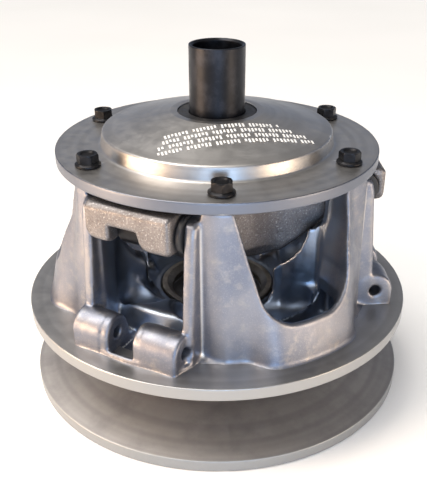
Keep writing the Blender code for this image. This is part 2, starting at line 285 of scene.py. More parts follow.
def rough_casting():
    """As-cast aluminium: a sandy grain with dark specks, painted pale glints, and painted shade in its
    hollows.
    """
    made = Finish("rough_casting", 0.9, (0.5, 0.47, 0.43))
    clouds = made.ramp(made.noise(14, 4.0), 0.35, 0.68)
    grain = made.noise(0.85, 3.0, 0.7)
    base = made.mix(clouds, (0.178, 0.169, 0.174), (0.235, 0.226, 0.23))
    # Painted glints: the grain's high points are mixed towards a pale grey.
    base = made.mix(made.ramp(grain, 0.56, 0.72), base, (0.46, 0.455, 0.455))
    base = made.mix(made.ramp(grain, 0.43, 0.32), base, (0.165, 0.145, 0.14))
    # Painted shade: hollows are darkened almost to black.
    made.colour(made.mix(made.edges(0.475, 0.41), base, (0.08, 0.07, 0.065)))
    made.roughness(made.ramp(grain, 0.3, 0.7, 0.6, 0.36))
    made.bump(made.noise(3.0, 4.0, 0.6), 0.4, 0.6)
    made.bump(grain, 0.2, 1.0)
    return made.material


def dark_steel(name, colour, roughness):
    """Black-oxide steel: nearly black, with worn edges and faint handling marks."""
    made = Finish(name, 0.75, colour)
    marks = made.ramp(made.noise(10, 5.0, 0.65), 0.4, 0.75)
    paler = tuple(2.4 * part + 0.006 for part in colour)
    base = made.mix(marks, colour, paler)
    made.colour(made.mix(made.edges(0.56, 0.68), base, (0.16, 0.16, 0.17)))
    made.roughness(made.ramp(made.noise(5, 4.0), 0.3, 0.7, roughness - 0.07, roughness + 0.09))
    made.bump(made.lines(made.z, 0.6), 0.012, 0.4)
    made.bump(made.noise(0.8, 2.0), 0.02, 0.4)
    return made.material


def bare_metal(name, pale, dark, roughness):
    """Small plain metal parts: faintly clouded, and paler on their edges."""
    made = Finish(name, 1.0, pale)
    clouds = made.ramp(made.noise(5, 4.0), 0.35, 0.7)
    base = made.mix(clouds, pale, dark)
    made.colour(made.mix(made.edges(0.54, 0.66), base, tuple(min(1.0, part * 1.5) for part in pale)))
    made.roughness(made.ramp(made.noise(3, 3.0), 0.3, 0.7, roughness - 0.05, roughness + 0.1))
    made.bump(made.noise(0.7, 3.0), 0.03, 0.5)
    return made.material


def bearing_plastic():
    made = Finish("bearing_plastic", 0.0, (0.02, 0.02, 0.02))
    wear = made.ramp(made.noise(6, 4.0), 0.4, 0.7)
    made.colour(made.mix(wear, (0.014, 0.014, 0.016), (0.035, 0.034, 0.034)))
    made.roughness(made.ramp(made.noise(3, 3.0), 0.3, 0.7, 0.38, 0.55))
    made.bump(made.noise(0.6, 2.0), 0.03, 0.5)
    return made.material


def white_paint():
    made = Finish("white_paint", 0.0, (0.9, 0.9, 0.88))
    wear = made.ramp(made.noise(1.2, 4.0), 0.35, 0.7)
    made.colour(made.mix(wear, (0.93, 0.93, 0.92), (0.72, 0.72, 0.71)))
    made.roughness(made.ramp(made.noise(1.5, 3.0), 0.3, 0.7, 0.4, 0.6))
    return made.material


def pale_floor():
    made = Finish("pale_floor", 0.0, (0.9, 0.9, 0.9))
    clouds = made.ramp(made.noise(400, 2.0), 0.3, 0.7)
    made.colour(made.mix(clouds, (0.90, 0.90, 0.90), (0.93, 0.93, 0.93)))
    made.shader.inputs["Roughness"].default_value = 0.75
    made.shader.inputs["Specular IOR Level"].default_value = 0.1
    return made.material


CAST = cast_aluminium()
ROUGH = rough_casting()
RIM = (SHEAVE_R - 0.3) * MM
COVER_RIM = (COVER_R - 0.3) * MM
SHEAVE_METAL = turned_aluminium(
    "sheave_aluminium", (0.45, 0.435, 0.43), (0.29, 0.28, 0.285), 0.54, RIM, (0.37, 0.38, 0.39), 0.6
)
LEDGE_METAL = turned_aluminium(
    "ledge_aluminium", (0.46, 0.455, 0.455), (0.34, 0.335, 0.335), 0.38, RIM, (0.4, 0.4, 0.4)
)
# The cover's dark blue-grey rim colour is painted shade: it stands in for a dim blue reflection on its outer
# face.
COVER_METAL = turned_aluminium(
    "cover_aluminium", (0.52, 0.51, 0.505), (0.36, 0.35, 0.345), 0.38, COVER_RIM, (0.18, 0.195, 0.235), 0.5
)
POST_STEEL = dark_steel("post_steel", (0.012, 0.013, 0.017), 0.36)
BOLT_STEEL = dark_steel("bolt_steel", (0.012, 0.012, 0.014), 0.4)
BRIGHT = bare_metal("bright_steel", (0.58, 0.58, 0.58), (0.4, 0.4, 0.4), 0.28)
SPRING_METAL = bare_metal("spring_steel", (0.2, 0.2, 0.215), (0.1, 0.1, 0.105), 0.36)
BRONZE = bare_metal("sintered_bronze", (0.40, 0.36, 0.31), (0.28, 0.25, 0.22), 0.42)
PLASTIC = bearing_plastic()
PAINT = white_paint()


# ------------------------------------------------------------------------------------------------ mesh tools


def add_mesh(name, points, faces, material, sharp=SHARP_ANGLE):
    """A smooth-shaded object from points in millimetres."""
    mesh = bpy.data.meshes.new(name)
    mesh.from_pydata(np.asarray(points, float) * MM, [], faces)
    mesh.materials.append(material)
    obj = bpy.data.objects.new(name, mesh)
    bpy.context.scene.collection.objects.link(obj)
    mesh.shade_smooth()
    if sharp:
        mesh.set_sharp_from_angle(angle=math.radians(sharp))
    return obj


def rounded(profile, steps=5):
    """A closed outline with its corners rounded. A point is (a, b) or (a, b, radius)."""
    made = []
    count = len(profile)
    for index, corner in enumerate(profile):
        here = Vector(corner[:2])
        radius = corner[2] if len(corner) == 3 else 0.0
        before = Vector(profile[index - 1][:2]) - here
        after = Vector(profile[(index + 1) % count][:2]) - here
        if not radius:
            made.append(tuple(here))
            continue
        half = before.angle(after) / 2
        run = min(radius / math.tan(half), 0.49 * before.length, 0.49 * after.length)
        first = here + before.normalized() * run
        last = here + after.normalized() * run
        for step in range(steps + 1):
            share = step / steps
            point = first * (1 - share) ** 2 + here * (2 * share * (1 - share)) + last * share**2
            made.append(tuple(point))
    return made


def divided(profile, margin=0.8, longest=7.0):
    """Adds points along long straight runs: one close to each end, the rest evenly between."""
    made = []
    for index, first in enumerate(profile):
        last = profile[(index + 1) % len(profile)]
        length = math.dist(first, last)
        made.append(first)
        if length < 4 * margin:
            continue
        count = math.ceil((length - 2 * margin) / longest)
        for step in range(count + 1):
            share = (margin + (length - 2 * margin) * step / count) / length
            made.append(tuple(a + (b - a) * share for a, b in zip(first, last)))
    return made


def turned(name, profile, material, steps=LATHE_STEPS, place=None, sharp=SHARP_ANGLE):
    """A ring turned about Z from a closed profile of (radius, height) that starts down its outer side."""
    profile = divided(rounded(profile))
    count = len(profile)
    angles = [2 * math.pi * step / steps for step in range(steps)]
    points = [(r * math.cos(a), r * math.sin(a), z) for a in angles for r, z in profile]
    faces = []
    for step in range(steps):
        here, there = step * count, (step + 1) % steps * count
        for index in range(count):
            after = (index + 1) % count
            faces.append((here + index, here + after, there + after, there + index))
    obj = add_mesh(name, points, faces, material, sharp)
    weld(obj)
    if place:
        obj.data.transform(place)
    return obj


def weld(obj):
    """Closes a profile that reaches the axis, and turns the faces outwards."""
    bm = bmesh.new()
    bm.from_mesh(obj.data)
    bmesh.ops.remove_doubles(bm, verts=bm.verts, dist=1e-7)
    bmesh.ops.dissolve_degenerate(bm, dist=1e-7, edges=bm.edges)
    bmesh.ops.recalc_face_normals(bm, faces=bm.faces)
    bm.to_mesh(obj.data)
    bm.free()


def cut_away(obj, others):
    """Cuts the other objects out of this one, and removes them."""
    for other in others:
        change = obj.modifiers.new("Cut", "BOOLEAN")
        change.operation = "DIFFERENCE"
        change.solver = "MANIFOLD"
        change.object = other
    bpy.context.view_layer.update()
    graph = bpy.context.evaluated_depsgraph_get()
    mesh = bpy.data.meshes.new_from_object(obj.evaluated_get(graph))
    obj.modifiers.clear()
    obj.data = mesh
    mesh.shade_smooth()
    mesh.set_sharp_from_angle(angle=math.radians(SHARP_ANGLE))
    for other in others:
        bpy.data.objects.remove(other, do_unlink=True)


def box_faces(start):
    """The six faces of a box whose corners, from start on, go round one end and then round the other."""
    sides = [(k, (k + 1) % 4, (k + 1) % 4 + 4, k + 4) for k in range(4)]
    return [tuple(start + i for i in face) for face in [(3, 2, 1, 0), (4, 5, 6, 7)] + sides]


def at_azimuth(azimuth, u=0.0, z=0.0, t=0.0):
    """The place of a sector's point, with X along t and Z up."""
    turn = Matrix.Rotation(math.radians(azimuth), 4, "Z")
    return turn @ Matrix.Translation(Vector((t, -u, z)) * MM)


def in_sector(place, u, t, z):
    """A sector's point in millimetres."""
    return place @ Vector((t * MM, -u * MM, z * MM)) / MM


# ------------------------------------------------------------------------------------------- distance fields


def grid(reach, bottom, top):
    """Open arrays of x, y and z that cover a square of half-width reach."""
    across = np.arange(-reach, reach + VOXEL, VOXEL, dtype=np.float32)
    up = np.arange(bottom, top + VOXEL, VOXEL, dtype=np.float32)
    return across[:, None, None], across[None, :, None], up[None, None, :]


def sector(x, y, azimuth, count):
    """u and t in the nearest of count equal sectors, one of them centred on azimuth."""
    period = 2 * math.pi / count
    angle = np.arctan2(x, -y) - math.radians(azimuth)
    angle = angle - period * np.round(angle / period)
    radius = np.hypot(x, y)
    return radius * np.cos(angle), radius * np.sin(angle)


def shape(a, b, outline):
    """Distance to a closed outline in the plane of a and b."""
    size = np.broadcast(a, b).shape
    nearest = np.full(size, 1e9, np.float32)
    inside = np.zeros(size, bool)
    for (a0, b0), (a1, b1) in zip(outline, outline[1:] + outline[:1]):
        da, db = a1 - a0, b1 - b0
        share = np.clip(((a - a0) * da + (b - b0) * db) / (da * da + db * db), 0, 1)
        nearest = np.minimum(nearest, (a - a0 - share * da) ** 2 + (b - b0 - share * db) ** 2)
        if db:
            inside ^= ((b0 > b) != (b1 > b)) & (a < (b - b0) * (da / db) + a0)
    return np.where(inside, -1, 1) * np.sqrt(nearest)


def span(value, first, last):
    """Distance to the slab between two values."""
    return np.maximum(first - value, value - last)


def join(a, b, seam=0.0):
    if not seam:
        return np.minimum(a, b)
    near = np.maximum(seam - np.abs(a - b), 0) / seam
    return np.minimum(a, b) - near * near * seam / 4


def common(a, b, seam=0.0):
    return -join(-a, -b, seam)


def cut(a, b, seam=0.0):
    return common(a, -b, seam)


def arc(centre, radius, start, end, count=10):
    angles = [math.radians(start + (end - start) * i / count) for i in range(count + 1)]
    return [(centre[0] + radius * math.cos(a), centre[1] + radius * math.sin(a)) for a in angles]


def meshed(name, distance, reach, bottom, material):
    """The zero surface of a distance field, as a smooth object."""
    field = openvdb.FloatGrid(background=3.0)
    field.copyFromArray(np.ascontiguousarray(distance, dtype=np.float32))
    points, triangles, quads = field.convertToPolygons(isovalue=0.0, adaptivity=0.0)
    points = points * VOXEL + np.array((-reach, -reach, bottom))
    faces = [tuple(face[::-1]) for face in quads.tolist() + triangles.tolist()]
    obj = add_mesh(name, points, faces, material, None)
    bm = bmesh.new()
    bm.from_mesh(obj.data)
    bmesh.ops.smooth_vert(bm, verts=bm.verts, factor=0.4, use_axis_x=True, use_axis_y=True, use_axis_z=True)
    bm.to_mesh(obj.data)
    bm.free()
    return obj


# ---------------------------------------------------------------------------------------------- the castings


class CastingPoints:
    """Every grid point's radius and height, and its place in the sectors of the bays, windows and bolts."""

    def __init__(self, x, y, z):
        self.r = np.hypot(x, y)
        self.z = z
        self.bay_u, self.bay_t = sector(x, y, BAY_AZIMUTH, 3)
        self.window_u, self.window_t = sector(x, y, WINDOW_AZIMUTH, 3)
        self.bolt_u, self.bolt_t = sector(x, y, 0, 6)
        # How far from a bay's middle, to either side
        self.side = np.abs(self.bay_t)
        # A radius measured round a point 20 mm out towards the window, which the floor below it follows
        self.bowl = np.hypot(self.window_u - 20, self.window_t) + 20
        # Where the webs beside each bay run, as a distance to the side
        self.bulge = 27.8 + 4.6 * np.maximum(1 - ((self.bay_u - 48) / 15) ** 2, 0)


def tower_field(at):
    """A round wall that leans in on one side of each window, with bolt columns and an apron below it."""
    turn = np.degrees(np.arctan2(at.window_t, at.window_u))
    leaning = np.clip((turn - 8) / 9, 0, 1) * np.clip((36 - turn) / 7, 0, 1)
    outer_r = at.r + leaning * np.interp(at.z, (87, 103, 118), (0, 2.6, 3.8))
    tower = shape(outer_r, at.z, [(81, 128), (84.5, LEDGE), (84.5, 45), (66, 45), (66, 128)])
    reach = np.maximum(outer_r - 79, 60 - at.z)
    column = common(np.hypot(at.bolt_u - BOLT_CIRCLE_R, at.bolt_t) - 10.5, reach, 3)
    apron = shape(outer_r, at.z, [(79.5, 114), (93.5, LEDGE), (93.5, 45), (72, 45), (72, 114)])
    return join(join(tower, column, 4), common(apron, span(at.window_t, -24, 37), 12), 6)


def cut_windows(body, at):
    """Each window, and the trough that hollows the casting below it."""
    trough = shape(at.r, at.z, [(60, 47.2), (90.4, 47.2), (78.6, 104), (60, 104)])
    body = cut(body, common(trough, span(at.window_t, -20, 25), 6), 1.7)
    undercut = shape(at.r, at.z, [(67.5, 47.2), (80.2, 47.2), (79.4, 67), (67.5, 67)])
    body = cut(body, common(undercut, span(at.window_t, 8, 34), 6), 2.5)
    outline = [(-33, 131), (-22.6, 90)]
    outline += arc((-3.5, 87.3), 18, 195, 270)
    outline += arc((12, 85.8), 16.5, 270, 360)
    outline += [(30.3, 95), (33.2, 105), (33.2, 131)]
    window = shape(at.window_t, at.z, outline)
    return cut(body, common(window, 52 - at.window_u), 1.7)


def cut_bays(body, at):
    """Each bay, open to the front, with its side walls spreading at the foot."""
    bay = common(np.maximum(at.side - BAY_HALF, 58 - at.bay_u), LEDGE + 0.4 - at.z)
    body = cut(body, bay, 1.2)
    skirt = shape(at.side, at.z, [(32, 70), (25.2, 68.5), (20.5, 47), (32, 45)])
    return join(body, common(skirt, span(at.bay_u, 56, 77), 1.5), 1.5)


def add_floor(body, at):
    """The floor between hub and tower. Its profile follows the bowl below each window."""
    lean = np.where(at.side < 28.8, 0, np.clip((at.r - 45) / 15, 0, 1))
    floor_r = at.r + (at.bowl - at.r) * lean
    outline = [(32.1, 43.2), (32.1, 47.6), (35, 48), (40, 51.5), (46, 59), (52, 62.5), (64.5, 63.4)]
    outline += [(66.8, 62), (71, 50), (73, 48.6), (103.5, 48.9), (103.5, 45.8), (60, 43.4)]
    return join(body, shape(floor_r, at.z, outline), 3)


def add_webs(body, at):
    """The web on each side of a bay, from hub to tower, with a round hollow in its top edge."""
    web_z = at.z - 1.8 * np.clip(at.side - at.bulge, -3, 3)
    outline = [(27.1, 40), (73, 40), (73, 138), (56, 138), (55, 94.5), (46, 94.2)]
    outline += list(reversed(arc((15.4, 96.2), 30, 293, 356)))
    half = np.where(at.bay_u > 52, 3.3, 2.3)
    web = common(shape(at.bay_u, web_z, outline), np.abs(at.side - at.bulge) - half, 1.4)
    web = cut(web, np.maximum(at.r - 40.5, 56 - at.z), 2.5)
    return join(body, web, 4)


def scoop_pockets(body, at):
    """A round pocket in the floor at each side of a bay, and a curved one below each window."""
    bay_pocket = common(np.hypot(at.bay_u - 49.5, at.side - 17) - 14.3, 47.6 - at.z, 16)
    body = cut(body, bay_pocket, 1.8)
    ring = common(at.bowl - 67.2, 35.5 - at.r, 9)
    window_pocket = common(ring, at.bulge + 2.6 - at.side, 11)
    return cut(body, common(window_pocket, 47.6 - at.z, 10), 1.0)


def add_flanges(body, at):
    """The flat flange on each bay wall. It stands proud of a flat on the post and stops below the cover."""
    flat = np.maximum(73.2 - at.bay_u, span(at.side, 26, 42))
    body = cut(body, common(flat, LEDGE + 0.6 - at.z, 3), 2.5)
    outline = [(68, 46), (83.4, 46), (82.6, 62), (78.5, 115), (77.2, 119.7), (73.6, 122.2), (68, 122.2)]
    flange = common(shape(at.bay_u, at.z, outline), BAY_HALF - at.side, 1.0)
    body = join(body, common(flange, at.side - FLANGE_SIDE, 2.6), 1.4)
    top_gap = shape(at.side, at.z, [(20, 121.8), (30.2, 121.8), (31.4, 130), (20, 130)])
    return cut(body, common(top_gap, 66 - at.bay_u), 1.6)


def lug_field(at, ends):
    """A round lug with a square foot. A shallow turned step runs round it near one end."""
    if ends[0] < 0:
        step = 0.45 * (span(at.bay_t, ends[1] - 4.6, ends[1]) < 0)
    else:
        step = 0.3 * (at.bay_t < ends[0] + 4)
    barrel = np.hypot(at.bay_u - LUG_U, at.z - LUG_Z) - LUG_R + step
    foot = np.maximum(span(at.bay_u, 74, LUG_U + LUG_R - step), span(at.z, 44, LUG_Z))
    return common(join(barrel, foot), span(at.bay_t, *ends), 1.6)


def add_lugs(body, at):
    """The two lugs in front of each bay, on their pad, with the bore through them and the gap between."""
    for ends in LUG_SPANS:
        body = join(body, lug_field(at, ends), 1.5)
    corner = (at.bay_t - 28.5) * 0.93 + (at.bay_u - 90) * 0.37
    pad = np.maximum(span(at.bay_t, -31, 31), 72 - at.r)
    pad = common(np.maximum(at.r - 94.4, at.z - 51.6), pad, 1.0)
    body = join(body, common(pad, corner, 1.0), 1.0)
    body = cut(body, np.hypot(at.bay_u - LUG_U, at.z - LUG_Z) - LUG_BORE_R, 0.8)
    gap = np.maximum(span(at.bay_u, 70, 91.5), 47.4 - at.z)
    return cut(body, np.maximum(span(at.bay_t, -9.5, 3.5), gap), 0.8)


def moving_casting_field(x, y, z):
    """The movable sheave's casting, without its turned rim and belt face."""
    at = CastingPoints(x, y, z)
    body = tower_field(at)
    for step in (cut_windows, cut_bays, add_floor, add_webs, scoop_pockets, add_flanges, add_lugs):
        body = step(body, at)
    bolt_hole = np.hypot(at.bolt_u - BOLT_CIRCLE_R, at.bolt_t) - BOLT_HOLE_R
    body = cut(body, common(bolt_hole, 108 - at.z))
    return np.maximum(body, at.z - TOWER_TOP)


def make_moving_casting():
    reach, bottom = 105.0, 42.0
    distance = moving_casting_field(*grid(reach, bottom, TOWER_TOP + 3))
    return meshed("sheave_casting", distance, reach, bottom, CAST)


def spider_field(x, y, z):
    """A hub with a cup for the lock nut, and an arm into each bay with a notch for its roller."""
    r = np.hypot(x, y)
    u, t = sector(x, y, BAY_AZIMUTH, 3)
    hub = shape(r, z, [(36, 117), (36, 84), (33, 79), (28, 76), (14.5, 76), (14.5, 117)])
    side = [(85, 122.5), (83, 124.5), (56, 124.5), (36, 117), (20, 117), (20, 79)]
    side += [(33, 79), (50, 92), (61, 104.6), (82, 104.6), (85, 107.5)]
    front = [(-24.7, 126), (-24.7, 111), (-21.5, 107), (-18, 106), (9, 104.6)]
    front += [(20, 104.6), (22.5, 107), (22.5, 126)]
    front = join(shape(t, z, front), u - 58)
    arm = common(common(shape(u, z, side), span(t, -24.7, ARM_HALF), 2.2), front, 2.5)
    seat = np.hypot(u - BUTTON_U, z - BUTTON_Z) - BUTTON_R - 0.4
    arm = cut(arm, np.maximum(seat, t + ARM_HALF))
    notch = [(NOTCH[0], 70), (NOTCH[0], 114.8), (NOTCH[1], 114.8)]
    notch += [(5.5, 109.5), (9.6, 105), (13, 99), (13, 70)]
    arm = cut(arm, common(shape(t, z, notch), 57.5 - u), 1.6)
    room = np.maximum(span(t, *NOTCH), np.maximum(span(u, 57.5, 79.4), z - 121.5))
    arm = cut(arm, room)
    body = join(hub, arm, 6)
    body = cut(body, np.maximum(r - CUP_R, CUP_FLOOR - z), 1.5)
    body = cut(body, r - SLEEVE_R)
    return cut(body, np.hypot(u - ROLLER_U, z - ROLLER_Z) - PIN_HOLE_R)


def make_spider():
    reach, bottom = 90.0, 73.0
    distance = spider_field(*grid(reach, bottom, 128))
    return meshed("spider_casting", distance, reach, bottom, ROUGH)


# ---------------------------------------------------------------------------------------------- turned parts


def fixed_face_z(radius):
    """Height of the lower belt face."""
    return FIXED_RIM_TOP + (SHEAVE_R - radius) * BELT_SLOPE


def make_fixed_sheave():
    profile = (
        (SHEAVE_R, FIXED_RIM_TOP, 0.6),
        (SHEAVE_R, 0, 0.6),
        (99, 0, 0.6),
        (96, fixed_face_z(96) - FIXED_WEB, 1.5),
        (32, fixed_face_z(32) - FIXED_WEB, 2.0),
        (28, 0, 1.0),
        (SLEEVE_R, 0, 0.4),
        (SLEEVE_R, FIXED_FACE_TOP, 0.3),
        (HUB_FOOT_R, FIXED_FACE_TOP, 0.3),
    )
    return turned("sheave_turned", profile, SHEAVE_METAL)


def make_sheave_ribs():
    """Six stiffening ribs that stand under the fixed sheave's web."""
    outline = ((26, 0.5), (97, 0.5), (97, fixed_face_z(97) - 4), (26, fixed_face_z(26) - 4))
    points, faces = [], []
    for number in range(6):
        place = at_azimuth(60 * number)
        start = len(points)
        points += [in_sector(place, u, t, z) for t in (-2.5, 2.5) for u, z in outline]
        faces += box_faces(start)
    ribs = add_mesh("sheave_ribs", points, faces, SHEAVE_METAL)
    weld(ribs)
    return ribs


def moving_face_z(radius):
    """Height of the upper belt face."""
    return MOVING_RIM_BOTTOM - (SHEAVE_R - radius) * BELT_SLOPE + GAP


def make_moving_face():
    """The turned side of the movable sheave: belt face, rim and the ledge that the posts stand on."""
    profile = (
        (SHEAVE_R, LEDGE, 0.6),
        (SHEAVE_R, MOVING_RIM_BOTTOM, 0.6),
        (HUB_FOOT_R, moving_face_z(HUB_FOOT_R), 0.5),
        (BUSHING_SEAT_R, moving_face_z(HUB_FOOT_R), 0.4),
        (BUSHING_SEAT_R, 34, 0.3),
        (HUB_FOOT_R, 34, 0.3),
        (HUB_FOOT_R, CASTING_SEAT_Z, 0.3),
        (55, CASTING_SEAT_Z),
        (CASTING_SEAT_R, CASTING_SEAT_Z + 3),
        (CASTING_SEAT_R, LEDGE),
    )
    return turned("sheave_face", profile, LEDGE_METAL)


def make_post():
    profile = (
        (POST_R, POST_TOP, 0.5),
        (POST_R, 0, 0.3),
        (POST_BORE_R, 0, 0.3),
        (POST_BORE_R, POST_TOP - 16, 0.3),
        (12.3, POST_TOP - 16, 0.3),
        (12.3, POST_TOP - 1, 0.2),
        (13.2, POST_TOP, 0.2),
    )
    return turned("post_tube", profile, POST_STEEL, 96)


def make_cover():
    profile = (
        (COVER_R, COVER_TOP, 0.7),
        (COVER_R, COVER_BOTTOM, 0.6),
        (57, COVER_BOTTOM, 0.5),
        (55, DOME_EDGE - 6, 2.0),
        (36, 141, 2.0),
        (20.4, 141, 0.3),
        (20.4, DOME_TOP, 0.4),
        (DOME_CROWN_R, DOME_TOP, 1.5),
        (DOME_R - 1.2, DOME_EDGE, 1.5),
        (DOME_R, COVER_TOP + 0.2, 2.6),
        (DOME_R + 3, COVER_TOP),
    )
    cover = turned("cover_plate", profile, COVER_METAL)
    holes = []
    for number in range(6):
        hole_profile = ((BOLT_HOLE_R, 140), (BOLT_HOLE_R, 120), (0, 120), (0, 140))
        place = at_azimuth(60 * number, BOLT_CIRCLE_R)
        holes.append(turned(f"hole_{number}", hole_profile, COVER_METAL, 32, place))
    cut_away(cover, holes)
    return cover


def make_cover_marks():
    """Plain painted ticks in four rows on the dome, where the real cover carries a printed notice."""
    tick, pitch, stroke = 3.0, 1.75, 0.95
    rows = ((24.6, -34, 25), (29.2, -34, 30), (33.8, -37, 35), (38.4, -38, 38))
    place = at_azimuth(12)
    slope = (DOME_TOP - DOME_EDGE) / (DOME_R - DOME_CROWN_R)
    points, faces = [], []
    for row, (distance, first, last) in enumerate(rows):
        for number in range(int((last - first) / pitch) + 1):
            if (number + row * 3) % 8 == 0:
                continue
            t = first + number * pitch
            start = len(points)
            length = tick * (1.0 if (number + row) % 3 else 0.7)
            for lift in (0.02, 0.12):
                for du, dt in ((0, 0), (0, stroke), (length, stroke), (length, 0)):
                    u_here, t_here = distance + du, t + dt
                    z = DOME_TOP - (math.hypot(u_here, t_here) - DOME_CROWN_R) * slope + lift
                    points.append(in_sector(place, u_here, t_here, z))
            faces += box_faces(start)
    marks = add_mesh("cover_marks", points, faces, PAINT)
    weld(marks)
    return marks


def make_bolt(number):
    """A flanged hex bolt with a dished head."""
    base = COVER_TOP + GAP
    steps = 72

    def hexagon(angle):
        """Radius of a hexagon whose corners are 1 from its middle."""
        return math.cos(math.radians(30)) / math.cos((angle + math.pi / 6) % (math.pi / 3) - math.pi / 6)

    # Each ring is its radius, its height and how much of the hexagon it takes
    rings = (
        (0.0, base - 22, 0),
        (2.2, base - 22, 0),
        (BOLT_R, base - 21, 0),
        (BOLT_R, base, 0),
        (6.2, base, 0),
        (6.35, base + 0.3, 0),
        (6.3, base + 0.95, 0),
        (5.9, base + 1.35, 0.2),
        (5.4, base + 1.75, 0.9),
        (5.45, base + 2.2, 1),
        (5.45, base + 5.0, 1),
        (5.3, base + 5.5, 0.75),
        (4.9, base + 5.9, 0.2),
        (3.7, base + 5.9, 0),
        (3.4, base + 5.6, 0),
        (3.0, base + 5.1, 0),
        (0.0, base + 4.9, 0),
    )
    points, faces = [], []
    for radius, z, flat in rings:
        for step in range(steps):
            angle = 2 * math.pi * step / steps
            reach = radius * (1 - flat + flat * hexagon(angle))
            points.append((reach * math.cos(angle), reach * math.sin(angle), z))
    for ring in range(len(rings) - 1):
        for step in range(steps):
            here, after = ring * steps + step, ring * steps + (step + 1) % steps
            faces.append((here, after, after + steps, here + steps))
    bolt = add_mesh(f"bolt_{number + 1}", points, faces, BOLT_STEEL, 28)
    weld(bolt)
    turn = Matrix.Rotation(math.radians(17 * number), 4, "Z")
    bolt.data.transform(at_azimuth(60 * number, BOLT_CIRCLE_R) @ turn)
    return bolt


def make_spring():
    """A coil spring with half a flat turn at each end."""
    wire = 2.4
    radius = high("spring", "x") - wire
    bottom, top = SPRING_LOW + wire, SPRING_HIGH - wire
    per_turn, turns, sides = 48, 5, 14
    count = (turns + 1) * per_turn
    points, faces = [], []
    for index in range(count + 1):
        turn = index / per_turn
        rise = min(max(turn - 0.5, 0) / turns, 1)
        angle = 2 * math.pi * turn
        middle = bottom + (top - bottom) * rise
        for part in range(sides):
            tilt = 2 * math.pi * part / sides
            reach = radius + wire * math.cos(tilt)
            points.append((reach * math.cos(angle), reach * math.sin(angle), middle + wire * math.sin(tilt)))
    for index in range(count):
        for part in range(sides):
            after = (part + 1) % sides
            here, there = index * sides, (index + 1) * sides
            faces.append((here + part, here + after, there + after, there + part))
    faces.append(tuple(range(sides)))
    faces.append(tuple(count * sides + part for part in reversed(range(sides))))
    spring = add_mesh("spring_coil", points, faces, SPRING_METAL)
    weld(spring)
    return spring


def make_lock_nut():
    reach, foot = 21.5, CUP_FLOOR + GAP
    outline = ((reach, NUT_TOP, 0.5), (reach, foot, 0.5), (SLEEVE_R, foot, 0.4), (SLEEVE_R, NUT_TOP, 0.8))
    return turned("lock_nut", outline, BOLT_STEEL, 6, sharp=25)


def along_t(azimuth, u, z, t=0.0):
    """A place whose Z axis lies along t, for a pin or roller."""
    return at_azimuth(azimuth, u, z, t) @ Matrix.Rotation(math.radians(90), 4, "Y")


def make_small_parts():
    """Rollers, their bushes and pins, and the guide buttons. Returns (piece, body, slot, CAD node) rows."""
    rows = []
    middle = sum(NOTCH) / 2
    half = (NOTCH[1] - NOTCH[0]) / 2 - GAP
    for number in (1, 2, 3):
        azimuth = BAY_AZIMUTH + 120 * (number - 1)
        place = along_t(azimuth, ROLLER_U, ROLLER_Z, middle)
        outline = ((ROLLER_R, half, 0.9), (ROLLER_R, -half, 0.9), (5.9, -half, 0.3), (5.9, half, 0.3))
        piece = turned(f"roller_wheel_{number}", outline, BOLT_STEEL, 64, place)
        rows.append((piece, f"roller_{number}", "black_oxide_steel", f"roller_{number}"))
        end = half - GAP
        outline = ((5.6, end, 0.3), (5.6, -end, 0.3), (PIN_HOLE_R, -end, 0.2), (PIN_HOLE_R, end, 0.2))
        piece = turned(f"roller_sleeve_{number}", outline, BRONZE, 48, place)
        rows.append((piece, f"roller_{number}", "bronze", f"roller_bush_{number}"))
        reach = ARM_HALF - 0.2
        pin_r = PIN_HOLE_R - GAP
        outline = ((pin_r, reach, 0.6), (pin_r, -reach, 0.6), (0, -reach), (0, reach))
        piece = turned(f"pin_{number}", outline, BRIGHT, 48, along_t(azimuth, ROLLER_U, ROLLER_Z))
        rows.append((piece, FIXED, "bright_steel", f"roller_pin_{number}"))
        for side, button in ((-1, 2 * number - 1), (1, 2 * number)):
            inner, outer = sorted((side * (ARM_HALF + GAP), side * (BAY_HALF - GAP)))
            outline = ((BUTTON_R, outer, 0.6), (BUTTON_R, inner, 0.6), (0, inner), (0, outer))
            piece = turned(f"button_{button}", outline, PLASTIC, 64, along_t(azimuth, BUTTON_U, BUTTON_Z))
            rows.append((piece, FIXED, "bearing_plastic", f"guide_button_{button}"))
    return rows


def make_hub_rows():
    """The rings round the post. Returns (piece, body, slot, CAD node) rows."""
    collar = (
        (COLLAR_R, COLLAR_TOP, 0.5),
        (COLLAR_R, COLLAR_BOTTOM, 0.3),
        (25.4, COLLAR_BOTTOM, 0.3),
        (25.4, COLLAR_TOP - 2.6, 0.3),
        (28.6, COLLAR_TOP, 0.5),
    )
    outer = BUSHING_SEAT_R - GAP
    hub = ((outer, 36, 0.4), (outer, 26, 0.4), (SLEEVE_R, 26, 0.4), (SLEEVE_R, 36, 0.4))
    top = BUSHING_TOP
    lip = ((20.1, top, 0.4), (20.1, 138, 0.3), (SLEEVE_R, 138, 0.3), (SLEEVE_R, top, 0.5))
    floor = CUP_FLOOR + GAP
    seat = ((32, floor + 1.2, 0.3), (32, floor, 0.3), (24, floor, 0.3), (24, floor + 1.2, 0.3))
    return [
        (turned("collar_ring", collar, BRONZE), MOVING, "bronze", "hub_collar"),
        (turned("hub_bearing", hub, PLASTIC, 96), MOVING, "bearing_plastic", "hub_bushing"),
        (turned("cover_bearing", lip, PLASTIC, 96), MOVING, "bearing_plastic", "cover_bushing"),
        (turned("seat_washer", seat, BRIGHT, 96), FIXED, "bright_steel", "spring_seat"),
        (make_lock_nut(), FIXED, "black_oxide_steel", "spider_lock_nut"),
    ]


# ------------------------------------------------------------------------------------------------- the stage


def aim(obj, place, target):
    """Puts a light or the camera at place, looking at target, both in metres."""
    obj.location = place
    obj.rotation_euler = (Vector(target) - obj.location).to_track_quat("-Z", "Y").to_euler()
    bpy.context.scene.collection.objects.link(obj)


